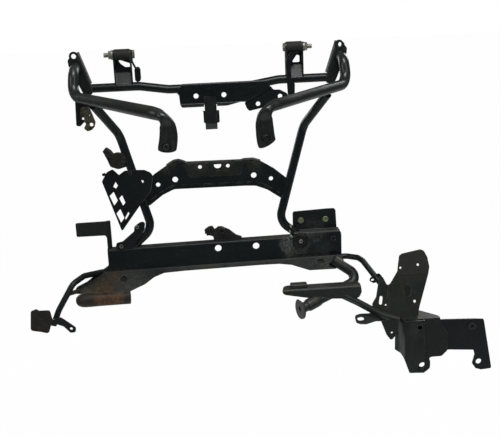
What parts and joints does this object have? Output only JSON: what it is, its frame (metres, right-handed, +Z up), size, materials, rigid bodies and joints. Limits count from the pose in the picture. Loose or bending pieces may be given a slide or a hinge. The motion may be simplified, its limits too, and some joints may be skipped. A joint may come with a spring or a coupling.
{
  "type": "motorcycle fairing stay",
  "caption": "Used welded steel fairing stay: bent tubes, pressed cross plates and a lower channel with brackets, rubber bushes, welded nuts and lug plates.",
  "frame": {"origin": "centre of the lower channel's hole nearer the middle, on the channel's front face", "axes": "+X to the viewer's right along the lower channel, +Y away from the viewer, +Z up"},
  "size_m": [0.853, 0.267, 0.6174],
  "materials": {
    "black_paint": "semi-gloss black paint, faded grey-green on top edges",
    "satin_paint": "satin charcoal paint, dusty, worn lighter on top",
    "worn_paint": "black paint, dusty and scuffed with brown rust bloom",
    "rusty_steel": "black paint over steel with orange-brown rust",
    "zinc": "dull zinc plating with a yellow cast",
    "rubber": "matt grey-black rubber",
    "black_plastic": "matt black moulded plastic, dusty"
  },
  "bodies": {
    "root": {"box_bracket": "black_paint", "bush_nuts": "zinc", "bush_washers": "zinc", "centre_channel": "black_paint", "centre_hanger_tab": "black_paint", "centre_tab_plate": "black_paint", "end_disc": "worn_paint", "end_plate": "rusty_steel", "end_tab": "rusty_steel", "foot_bar": "worn_paint", "foot_block": "worn_paint", "grommet": "rubber", "grommet_collar": "zinc", "guide_tab": "black_paint", "hanger_clip": "black_paint", "horn_plate": "black_paint", "knee_bracket": "black_paint", "knee_spring_clips": "zinc", "left_arm_tube": "satin_paint", "left_bush_bolt": "zinc", "left_bush_post": "black_paint", "left_bush_rubber": "rubber", "left_bush_sleeve": "zinc", "left_clip_plate": "black_paint", "left_lower_rod": "rusty_steel", "left_lug_plate": "black_paint", "left_side_strap": "black_paint", "left_side_tube": "black_paint", "lower_channel": "worn_paint", "middle_cross_plate": "black_paint", "nut_plate": "black_paint", "pointed_tab": "black_paint", "pressed_nuts": "zinc", "relay_pin": "worn_paint", "relay_plate": "black_paint", "right_arm_tube": "satin_paint", "right_bent_tube": "worn_paint", "right_bush_bolt": "zinc", "right_bush_post": "black_paint", "right_bush_rubber": "rubber", "right_bush_sleeve": "zinc", "right_lower_arm": "worn_paint", "right_lug_plate": "black_paint", "right_side_strap": "black_paint", "right_side_tube": "black_paint", "ring_tab": "worn_paint", "rod_clip": "black_paint", "rod_link": "rusty_steel", "skid_roll": "rusty_steel", "speed_clip": "zinc", "square_weld_nut": "black_paint", "step_bracket": "black_paint", "thin_rod": "black_paint", "upper_cross_tube": "black_paint", "wing_plate": "black_paint", "wing_weld_nut": "black_paint", "wiring_clip": "black_plastic"}
  },
  "joints": []
}
